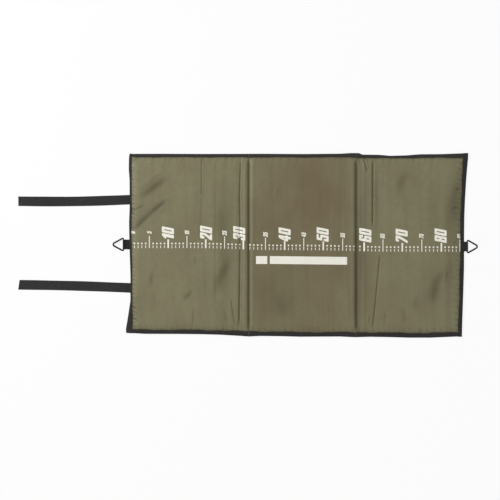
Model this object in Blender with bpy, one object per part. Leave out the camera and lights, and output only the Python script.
# Folding unhooking mat: three padded panels, taped edge, two fastening straps, two ring tabs.
# It lies open, printed face up. +X runs along the rule, +Y to the far edge, +Z up.
# The origin is on the underside, at the centre of the middle panel.
import math

import bmesh
import bpy
from mathutils import Matrix

# Clearances
FIT_GAP = 0.0003
FOLD_GAP = 0.0003
FOAM_GAP = 0.0004
STACK_GAP = 0.0008

# Layers
COVER_THICKNESS = 0.0005
FOAM_THICKNESS = 0.0074
TAPE_THICKNESS = 0.0007
TAPE_WIDTH = 0.009
TAPE_CORNER = 0.0008
CROWN = 0.0008

# Edge, fold and crease heights above the ground, each of the sheet's own outer face
EDGE_LIFT = 0.0019
VALLEY_HEIGHT = 0.0016
CREASE_HEIGHT = 0.005

# Plan
MIDDLE_PANEL_WIDTH = 0.279
MAT_DEPTH = 0.47
RIGHT_STRIP_WIDTH = 0.016
LEFT_OVERHANG = 0.0015
TUCK_ROOM = 0.0044

# Slopes of the covers, each measured across the slope
EDGE_SLOPE = 0.018
UNDER_SLOPE = 0.0105
FOLD_SLOPE = 0.013
CREASE_SLOPE = 0.012
TAPE_MARGIN = 0.0005
FOAM_EDGE_INSET = 0.0045
FOAM_FOLD_INSET = 0.004
SLOPE_SHARES = (0.0, 0.22, 0.46, 0.72, 1.0)
UNDER_SHARES = (0.0, 0.35, 0.7, 1.0)
FOAM_SHARES = (0.0, 0.45, 1.0)
PANEL_SPANS = 4

# Hook-and-loop straps, sewn under the left edge
STRAP_WIDTH = 0.024
STRAP_THICKNESS = 0.0014
STRAP_REACH = 0.2925
STRAP_REST = 0.0002
BACK_STRAP_PLACE = 0.1195
FRONT_STRAP_PLACE = 0.11
BACK_STRAP_LIE = math.radians(0.8)
FRONT_STRAP_LIE = math.radians(-1.6)
WEDGE_GAP = 0.00025

# Loop patches that the straps fasten to, let into the underside
PATCH_LENGTH = 0.11
PATCH_WIDTH = 0.03
PATCH_THICKNESS = 0.0008
PATCH_CENTRE_X = -0.05
PATCH_RAMP = 0.001

# Ring tabs and triangular rings
TAB_WIDTH = 0.0254
TAB_LAYER = 0.0007
RING_WIRE_RADIUS = 0.0016
RING_BASE_HALF = 0.0169
RING_LENGTH = 0.031
RING_BASE_BEND = 0.0023
RING_APEX_BEND = 0.004
RING_CLEARANCE = 0.00035
RIGHT_BAR_REACH = 0.006
LEFT_BAR_REACH = 0.0185
RIGHT_TAB_PLACE = -0.0025
LEFT_TAB_PLACE = 0.003
ARC_STEPS = 4
EYE_STEPS = 14

# Heights worked out from the layers
SHOULDER_HEIGHT = 2 * COVER_THICKNESS + 2 * FOAM_GAP + FOAM_THICKNESS - CROWN
PANEL_HEIGHT = SHOULDER_HEIGHT + CROWN
UNDER_FLANGE = EDGE_LIFT + TAPE_THICKNESS + FIT_GAP
TOP_FLANGE = UNDER_FLANGE + 2 * COVER_THICKNESS + FIT_GAP
EDGE_TOP = TOP_FLANGE + FIT_GAP + TAPE_THICKNESS
PIVOT_HEIGHT = EDGE_TOP

# Places along X
TAB_ROOM = RIGHT_BAR_REACH + RING_WIRE_RADIUS + RING_CLEARANCE + TAB_LAYER + TUCK_ROOM
LEFT_STRIP_WIDTH = RIGHT_STRIP_WIDTH + PANEL_HEIGHT + STACK_GAP
LEFT_PANEL_WIDTH = MIDDLE_PANEL_WIDTH + LEFT_OVERHANG
RIGHT_PANEL_WIDTH = MIDDLE_PANEL_WIDTH - TAB_ROOM
LEFT_FOLD = -MIDDLE_PANEL_WIDTH / 2
RIGHT_FOLD = MIDDLE_PANEL_WIDTH / 2
LEFT_CREASE = LEFT_FOLD - LEFT_STRIP_WIDTH
RIGHT_CREASE = RIGHT_FOLD + RIGHT_STRIP_WIDTH
LEFT_EDGE = LEFT_CREASE - LEFT_PANEL_WIDTH
RIGHT_EDGE = RIGHT_CREASE + RIGHT_PANEL_WIDTH
HALF_DEPTH = MAT_DEPTH / 2
RIM_INSET = TAPE_THICKNESS + FIT_GAP
FLANGE_WIDTH = TAPE_WIDTH + TAPE_MARGIN

# Strap places: the stub bends up clear of the folded stack, and the riser is as high as the stack
STRAP_MID = STRAP_REST + STRAP_THICKNESS / 2
STUB_LENGTH = PIVOT_HEIGHT + STACK_GAP + STRAP_THICKNESS / 2 - LEFT_OVERHANG
RISER_LENGTH = 2 * PIVOT_HEIGHT + LEFT_STRIP_WIDTH - STRAP_MID + STRAP_THICKNESS / 2 + STACK_GAP

# Colour, roughness and metallic value of each material
FINISHES = {
    "olive_cover": ((0.2, 0.185, 0.1, 1.0), 0.55, 0.0),
    "dark_backing": ((0.05, 0.05, 0.045, 1.0), 0.7, 0.0),
    "foam": ((0.12, 0.12, 0.12, 1.0), 0.9, 0.0),
    "black_tape": ((0.02, 0.018, 0.02, 1.0), 0.75, 0.0),
    "strap_webbing": ((0.035, 0.035, 0.037, 1.0), 0.85, 0.0),
    "loop_patch": ((0.025, 0.025, 0.027, 1.0), 0.95, 0.0),
    "tab_webbing": ((0.03, 0.028, 0.03, 1.0), 0.8, 0.0),
    "coated_wire": ((0.02, 0.02, 0.02, 1.0), 0.4, 0.6),
}


def clear_scene():
    for old in list(bpy.data.objects):
        bpy.data.objects.remove(old)


def new_collection(name):
    made = bpy.data.collections.new(name)
    bpy.context.scene.collection.children.link(made)
    return made


def finish_material(name):
    found = bpy.data.materials.get(name)
    if found:
        return found
    colour, roughness, metallic = FINISHES[name]
    made = bpy.data.materials.new(name)
    made.use_nodes = True
    shader = made.node_tree.nodes["Principled BSDF"]
    shader.inputs["Base Color"].default_value = colour
    shader.inputs["Roughness"].default_value = roughness
    shader.inputs["Metallic"].default_value = metallic
    made.diffuse_color = colour
    return made


def add_object(name, data, finish, group):
    made = bpy.data.objects.new(name, data)
    data.materials.append(finish_material(finish))
    group.objects.link(made)
    return made


def swell(distance, reach):
    """Rises from 0 to 1 over the reach, steep at the seam and level at the end."""
    share = min(max(distance / reach, 0), 1)
    return math.sin(share * math.pi / 2)


def panel_shares(x):
    """The panel's own place at x, as a share of its width, or None in a fold strip."""
    for low, high in ((LEFT_EDGE, LEFT_CREASE), (LEFT_FOLD, RIGHT_FOLD), (RIGHT_CREASE, RIGHT_EDGE)):
        if low <= x <= high:
            return (x - low) / (high - low)
    return None


def ridge_height(x):
    """Height of the top cover along the middle of the mat, without its crown."""
    if LEFT_FOLD <= x <= RIGHT_FOLD:
        inside = min(x - LEFT_FOLD, RIGHT_FOLD - x)
        return VALLEY_HEIGHT + (SHOULDER_HEIGHT - VALLEY_HEIGHT) * swell(inside, FOLD_SLOPE)
    if LEFT_CREASE < x < LEFT_FOLD:
        return VALLEY_HEIGHT + (CREASE_HEIGHT - VALLEY_HEIGHT) * (LEFT_FOLD - x) / LEFT_STRIP_WIDTH
    if RIGHT_FOLD < x < RIGHT_CREASE:
        return VALLEY_HEIGHT + (CREASE_HEIGHT - VALLEY_HEIGHT) * (x - RIGHT_FOLD) / RIGHT_STRIP_WIDTH
    inner = LEFT_CREASE - x if x < 0 else x - RIGHT_CREASE
    outer = x - LEFT_EDGE if x < 0 else RIGHT_EDGE - x
    at_crease = CREASE_HEIGHT + (SHOULDER_HEIGHT - CREASE_HEIGHT) * swell(inner, CREASE_SLOPE)
    at_edge = TOP_FLANGE + (SHOULDER_HEIGHT - TOP_FLANGE) * swell(outer - FLANGE_WIDTH, EDGE_SLOPE)
    return min(at_crease, at_edge)


def top_face(x, y):
    share = panel_shares(x)
    dome = 0
    if share is not None:
        dome = CROWN * math.sin(math.pi * share) * math.cos(math.pi * y / MAT_DEPTH)
    rise = swell(HALF_DEPTH - abs(y) - FLANGE_WIDTH, EDGE_SLOPE)
    return TOP_FLANGE + (ridge_height(x) + dome - TOP_FLANGE) * rise


def patch_lift(x, y):
    """How far the underside steps up over a patch."""
    for _, place_y in patch_places():
        outside_x = abs(x - PATCH_CENTRE_X) - PATCH_LENGTH / 2 - FIT_GAP
        outside_y = abs(y - place_y) - PATCH_WIDTH / 2 - FIT_GAP
        outside = max(outside_x, outside_y)
        if outside < PATCH_RAMP:
            return (PATCH_THICKNESS + FIT_GAP) * min(1, 1 - outside / PATCH_RAMP)
    return 0


def under_face(x, y):
    end_distance = min(x - LEFT_EDGE, RIGHT_EDGE - x) - FLANGE_WIDTH
    side_distance = HALF_DEPTH - abs(y) - FLANGE_WIDTH
    drop = swell(end_distance, UNDER_SLOPE) * swell(side_distance, UNDER_SLOPE)
    return UNDER_FLANGE * (1 - drop) + patch_lift(x, y)


def top_inner(x, y):
    return top_face(x, y) - COVER_THICKNESS


def under_inner(x, y):
    return under_face(x, y) + COVER_THICKNESS


def foam_top(x, y):
    return top_face(x, y) - COVER_THICKNESS - FOAM_GAP


def foam_under(x, y):
    return under_face(x, y) + COVER_THICKNESS + FOAM_GAP


def stations(low, high, low_steps, high_steps, spans):
    """Places of the mesh lines from low to high: steps at each end, even spans between."""
    first = [low + step for step in low_steps]
    last = [high - step for step in reversed(high_steps)]
    width = (last[0] - first[-1]) / spans
    return first + [first[-1] + width * turn for turn in range(1, spans)] + last


def with_lines(places, more):
    """The places with more lines added, without lines closer together than the fit gap."""
    merged = sorted(places[1:-1] + more)
    kept = [places[0]]
    for place in merged:
        if place - kept[-1] > FIT_GAP / 2 and places[-1] - place > FIT_GAP / 2:
            kept.append(place)
    return kept + [places[-1]]


def layer(name, across, along, upper, lower, finish, group):
    """A closed layer over a grid of mesh lines, between an upper and a lower face."""
    mesh = bmesh.new()
    bmesh.ops.create_grid(mesh, x_segments=len(across) - 1, y_segments=len(along) - 1, size=1)
    for vertex in mesh.verts:
        column = round((vertex.co.x + 1) / 2 * (len(across) - 1))
        row = round((vertex.co.y + 1) / 2 * (len(along) - 1))
        x, y = across[column], along[row]
        vertex.co = (x, y, lower(x, y))
    raised = bmesh.ops.extrude_face_region(mesh, geom=mesh.faces[:])
    for item in raised["geom"]:
        if isinstance(item, bmesh.types.BMVert):
            item.co.z = upper(item.co.x, item.co.y)
    bmesh.ops.recalc_face_normals(mesh, faces=mesh.faces[:])
    data = bpy.data.meshes.new(name)
    mesh.to_mesh(data)
    mesh.free()
    data.shade_smooth()
    data.set_sharp_from_angle(angle=math.radians(35))
    return add_object(name, data, finish, group)


def outline_solid(name, outlines, width, placing, finish, group):
    """A flat outline, drawn in X and Z, filled and extruded to its width along Y."""
    data = bpy.data.curves.new(name, "CURVE")
    data.dimensions = "2D"
    data.fill_mode = "BOTH"
    data.extrude = width / 2
    for outline in outlines:
        spline = data.splines.new("POLY")
        spline.points.add(len(outline) - 1)
        for point, (x, z) in zip(spline.points, outline):
            point.co = (x, z, 0, 1)
        spline.use_cyclic_u = True
    made = add_object(name, data, finish, group)
    made.matrix_world = placing @ Matrix.Rotation(math.pi / 2, 4, "X")
    return made


def arc(centre, radius, start, end, steps):
    turns = [start + (end - start) * step / steps for step in range(steps + 1)]
    return [(centre[0] + radius * math.cos(a), centre[1] + radius * math.sin(a)) for a in turns]


def tape_outline():
    """The folded tape in section: the mat's edge enters from +X, the outer wall is at zero."""
    low, high = EDGE_LIFT, EDGE_TOP
    quarter = math.pi / 2
    near = TAPE_CORNER
    outer = [(TAPE_WIDTH, low)]
    outer += arc((near, low + near), near, 3 * quarter, 2 * quarter, ARC_STEPS)
    outer += arc((near, high - near), near, 2 * quarter, quarter, ARC_STEPS)
    outer += [(TAPE_WIDTH, high), (TAPE_WIDTH, high - TAPE_THICKNESS)]
    inner = [(TAPE_THICKNESS, high - TAPE_THICKNESS), (TAPE_THICKNESS, low + TAPE_THICKNESS)]
    return outer + inner + [(TAPE_WIDTH, low + TAPE_THICKNESS)]


def make_end_tapes(group):
    for name, edge, turn in (
        ("binding_left_end", LEFT_EDGE, 0),
        ("binding_right_end", RIGHT_EDGE, math.pi),
    ):
        placing = Matrix.Translation((edge, 0, 0)) @ Matrix.Rotation(turn, 4, "Z")
        outline_solid(name, [tape_outline()], MAT_DEPTH, placing, "black_tape", group)


def tape_runs():
    half = FOLD_GAP / 2
    clear = TAPE_WIDTH + FIT_GAP
    return (
        ("left", LEFT_EDGE + clear, LEFT_CREASE - half),
        ("left_fold", LEFT_CREASE + half, LEFT_FOLD - half),
        ("middle", LEFT_FOLD + half, RIGHT_FOLD - half),
        ("right_fold", RIGHT_FOLD + half, RIGHT_CREASE - half),
        ("right", RIGHT_CREASE + half, RIGHT_EDGE - clear),
    )


def make_side_tapes(group):
    for side, turn, place_y in (("back", -math.pi / 2, HALF_DEPTH), ("front", math.pi / 2, -HALF_DEPTH)):
        for run, start, end in tape_runs():
            placing = Matrix.Translation(((start + end) / 2, place_y, 0)) @ Matrix.Rotation(turn, 4, "Z")
            outline_solid(
                f"binding_{side}_{run}", [tape_outline()], end - start, placing, "black_tape", group
            )


def rim_steps(slope, slope_table):
    return [0] + [FLANGE_WIDTH - RIM_INSET + slope * share for share in slope_table]


def fold_steps(slope):
    return [slope * share for share in SLOPE_SHARES]


def patch_lines(centre, length):
    half = length / 2 + FIT_GAP
    return [centre + side * reach for side in (-1, 1) for reach in (half, half + PATCH_RAMP)]


def make_panels(group):
    half = FOLD_GAP / 2
    rim = HALF_DEPTH - RIM_INSET
    top_rim = rim_steps(EDGE_SLOPE, SLOPE_SHARES)
    under_rim = rim_steps(UNDER_SLOPE, UNDER_SHARES)
    top_rows = stations(-rim, rim, top_rim, top_rim, PANEL_SPANS)
    under_rows = stations(-rim, rim, under_rim, under_rim, PANEL_SPANS)
    at_fold = fold_steps(FOLD_SLOPE)
    at_crease = fold_steps(CREASE_SLOPE)
    panels = (
        ("left", LEFT_EDGE + RIM_INSET, LEFT_CREASE - half, top_rim, at_crease, under_rim, [0]),
        ("middle", LEFT_FOLD + half, RIGHT_FOLD - half, at_fold, at_fold, [0], [0]),
        ("right", RIGHT_CREASE + half, RIGHT_EDGE - RIM_INSET, at_crease, top_rim, [0], under_rim),
    )
    for name, low, high, low_top, high_top, low_under, high_under in panels:
        columns = stations(low, high, low_top, high_top, PANEL_SPANS)
        layer(f"top_cover_{name}", columns, top_rows, top_face, top_inner, "olive_cover", group)
        columns = stations(low, high, low_under, high_under, PANEL_SPANS)
        rows = under_rows
        if name == "middle":
            columns = with_lines(columns, patch_lines(PATCH_CENTRE_X, PATCH_LENGTH))
            for _, place_y in patch_places():
                rows = with_lines(rows, patch_lines(place_y, PATCH_WIDTH))
        layer(
            f"bottom_cover_{name}", columns, rows, under_inner, under_face, "dark_backing", group
        )


def make_foams(group):
    edge_inset = FLANGE_WIDTH + FOAM_EDGE_INSET
    edge_reach = EDGE_SLOPE - FOAM_EDGE_INSET
    edge_steps = [edge_reach * share for share in FOAM_SHARES]
    rows = stations(-HALF_DEPTH + edge_inset, HALF_DEPTH - edge_inset, edge_steps, edge_steps, PANEL_SPANS)
    crease_reach = CREASE_SLOPE - FOAM_FOLD_INSET
    crease_steps = [crease_reach * share for share in FOAM_SHARES]
    fold_reach = FOLD_SLOPE - FOAM_FOLD_INSET
    middle_steps = [fold_reach * share for share in FOAM_SHARES]
    foams = (
        ("left", LEFT_EDGE + edge_inset, LEFT_CREASE - FOAM_FOLD_INSET, edge_steps, crease_steps),
        ("middle", LEFT_FOLD + FOAM_FOLD_INSET, RIGHT_FOLD - FOAM_FOLD_INSET, middle_steps, middle_steps),
        ("right", RIGHT_CREASE + FOAM_FOLD_INSET, RIGHT_EDGE - edge_inset, crease_steps, edge_steps),
    )
    for name, low, high, low_steps, high_steps in foams:
        columns = stations(low, high, low_steps, high_steps, PANEL_SPANS)
        foam_rows = rows
        if name == "middle":
            columns = with_lines(columns, patch_lines(PATCH_CENTRE_X, PATCH_LENGTH))
            for _, place_y in patch_places():
                foam_rows = with_lines(foam_rows, patch_lines(place_y, PATCH_WIDTH))
        layer(f"foam_{name}", columns, foam_rows, foam_top, foam_under, "foam", group)


def make_fold_strips(group):
    half = FOLD_GAP / 2
    rim = HALF_DEPTH - RIM_INSET
    top_rim = rim_steps(EDGE_SLOPE, SLOPE_SHARES)
    under_rim = rim_steps(UNDER_SLOPE, UNDER_SHARES)
    top_rows = stations(-rim, rim, top_rim, top_rim, PANEL_SPANS)
    under_rows = stations(-rim, rim, under_rim, under_rim, PANEL_SPANS)
    for name, low, high in (
        ("left", LEFT_CREASE + half, LEFT_FOLD - half),
        ("right", RIGHT_FOLD + half, RIGHT_CREASE - half),
    ):
        columns = stations(low, high, [0], [0], PANEL_SPANS)
        layer(f"top_cover_{name}_fold", columns, top_rows, top_face, top_inner, "olive_cover", group)
        columns = [low, high]
        layer(
            f"bottom_cover_{name}_fold", columns, under_rows, under_inner, under_face,
            "dark_backing", group,
        )


def strap_places():
    """Name, root Y and lie of each strap, seen from above."""
    return (
        ("back", BACK_STRAP_PLACE, BACK_STRAP_LIE),
        ("front", -FRONT_STRAP_PLACE, FRONT_STRAP_LIE),
    )


def patch_places():
    """Name and Y of each patch, where its strap lies once the mat is folded and wrapped."""
    wrapped = MIDDLE_PANEL_WIDTH / 2 + PIVOT_HEIGHT + STACK_GAP + STRAP_THICKNESS / 2 - PATCH_CENTRE_X
    return [(name, place_y + math.tan(lie) * wrapped) for name, place_y, lie in strap_places()]


def make_patches(group):
    for name, place_y in patch_places():
        outline = [
            (-PATCH_LENGTH / 2, 0),
            (PATCH_LENGTH / 2, 0),
            (PATCH_LENGTH / 2, PATCH_THICKNESS),
            (-PATCH_LENGTH / 2, PATCH_THICKNESS),
        ]
        placing = Matrix.Translation((PATCH_CENTRE_X, place_y, 0))
        outline_solid(f"fastening_patch_{name}", [outline], PATCH_WIDTH, placing, "loop_patch", group)


def strap_outline(start, end, wedge_start, wedge_end):
    """A strap's side view from start out to end, along -X, about its mid height."""
    half = STRAP_THICKNESS / 2
    outline = []
    if wedge_start:
        outline += [(-start - half, -half), (-start, 0), (-start - half, half)]
    else:
        outline += [(-start, -half), (-start, half)]
    if wedge_end:
        outline += [(-end + half, half), (-end, 0), (-end + half, -half)]
    else:
        outline += [(-end, half), (-end, -half)]
    return outline


def empty_at(name, placing, group):
    made = bpy.data.objects.new(name, None)
    group.objects.link(made)
    made.matrix_world = placing
    return made


def make_straps(group):
    for name, place_y, lie in strap_places():
        root = Matrix.Translation((LEFT_EDGE, place_y, STRAP_MID)) @ Matrix.Rotation(lie, 4, "Z")
        pieces = (
            ("root", 0, -TAPE_WIDTH, STUB_LENGTH - WEDGE_GAP, False, True),
            ("riser", STUB_LENGTH, WEDGE_GAP, RISER_LENGTH - WEDGE_GAP, True, True),
            ("end", STUB_LENGTH + RISER_LENGTH, WEDGE_GAP,
             STRAP_REACH - STUB_LENGTH - RISER_LENGTH, True, False),
        )
        for piece, along, start, end, wedge_start, wedge_end in pieces:
            hinge = empty_at(
                f"{name}_strap_{piece}_axis", root @ Matrix.Translation((-along, 0, 0)), group
            )
            outline = strap_outline(start, end, wedge_start, wedge_end)
            made = outline_solid(
                f"strap_{name}_{piece}", [outline], STRAP_WIDTH, hinge.matrix_world,
                "strap_webbing", group,
            )
            made.parent = hinge
            made.matrix_parent_inverse = hinge.matrix_world.inverted()


def eye_outline(bar_reach, bar_height, strip_low, strip_high, inner_end):
    """A doubled webbing tab in section: a flat strip that ends in an eye round the ring's bar."""
    eye = RING_WIRE_RADIUS + RING_CLEARANCE + TAB_LAYER
    start = -math.pi - math.asin((strip_low - bar_height) / eye)
    end = math.pi - math.asin((strip_high - bar_height) / eye)
    outline = [(inner_end, strip_high), (inner_end, strip_low)]
    return outline + arc((bar_reach, bar_height), eye, start, end, EYE_STEPS)


def make_tabs(group):
    bore = RING_WIRE_RADIUS + RING_CLEARANCE
    right_low = EDGE_TOP + FIT_GAP
    right_bar = right_low + TAB_LAYER
    left_low = STRAP_REST
    left_bar = bore + TAB_LAYER
    tabs = (
        ("right", RIGHT_EDGE, 1, RIGHT_TAB_PLACE, RIGHT_BAR_REACH, right_bar, right_low),
        ("left", LEFT_EDGE, -1, LEFT_TAB_PLACE, LEFT_BAR_REACH, left_bar, left_low),
    )
    for name, edge, side, place_y, reach, bar_height, low in tabs:
        outline = eye_outline(reach, bar_height, low, low + 2 * TAB_LAYER, -TAPE_WIDTH)
        hole = arc((reach, bar_height), bore, 0, 2 * math.pi, EYE_STEPS)[:-1]
        turn = 0 if side > 0 else math.pi
        placing = Matrix.Translation((edge, place_y, 0)) @ Matrix.Rotation(turn, 4, "Z")
        outline_solid(f"ring_tab_{name}", [outline, hole], TAB_WIDTH, placing, "tab_webbing", group)
        make_ring(name, edge + side * reach, place_y, bar_height, turn, group)


def bend_points(corner, before, after, radius):
    """Points of a round bend of the wire at a corner, between its two neighbours."""
    into = math.atan2(before[1] - corner[1], before[0] - corner[0])
    out = math.atan2(after[1] - corner[1], after[0] - corner[0])
    half = math.atan2(math.sin(out - into), math.cos(out - into)) / 2
    middle = into + half
    distance = radius / math.sin(abs(half))
    centre = (corner[0] + distance * math.cos(middle), corner[1] + distance * math.sin(middle))
    sweep = math.copysign(math.pi / 2 - abs(half), half)
    return arc(centre, radius, middle + math.pi + sweep, middle + math.pi - sweep, ARC_STEPS)


def make_ring(name, bar_x, place_y, bar_height, turn, group):
    """A triangle of round wire. Its bar lies in the tab's eye and its apex on the ground."""
    corners = [(0, -RING_BASE_HALF), (RING_LENGTH, 0), (0, RING_BASE_HALF)]
    bends = [RING_BASE_BEND, RING_APEX_BEND, RING_BASE_BEND]
    points = []
    for place, corner in enumerate(corners):
        before = corners[place - 1]
        after = corners[(place + 1) % len(corners)]
        points += bend_points(corner, before, after, bends[place])
    data = bpy.data.curves.new(f"ring_{name}", "CURVE")
    data.dimensions = "3D"
    data.bevel_depth = RING_WIRE_RADIUS
    data.bevel_resolution = 3
    spline = data.splines.new("POLY")
    spline.points.add(len(points) - 1)
    for point, (x, y) in zip(spline.points, points):
        point.co = (x, y, 0, 1)
    spline.use_cyclic_u = True
    made = add_object(f"ring_{name}", data, "coated_wire", group)
    apex_angle = math.atan(RING_BASE_HALF / RING_LENGTH)
    apex_reach = RING_LENGTH - RING_APEX_BEND / math.sin(apex_angle) + RING_APEX_BEND
    tilt = math.asin((bar_height - RING_WIRE_RADIUS) / apex_reach)
    made.matrix_world = (
        Matrix.Translation((bar_x, place_y, bar_height))
        @ Matrix.Rotation(turn, 4, "Z")
        @ Matrix.Rotation(tilt, 4, "Y")
    )


def main():
    clear_scene()
    mat = new_collection("unhooking_mat")
    make_panels(mat)
    make_foams(mat)
    make_fold_strips(mat)
    make_side_tapes(mat)
    make_end_tapes(mat)
    make_patches(mat)
    make_straps(mat)
    make_tabs(mat)


main()
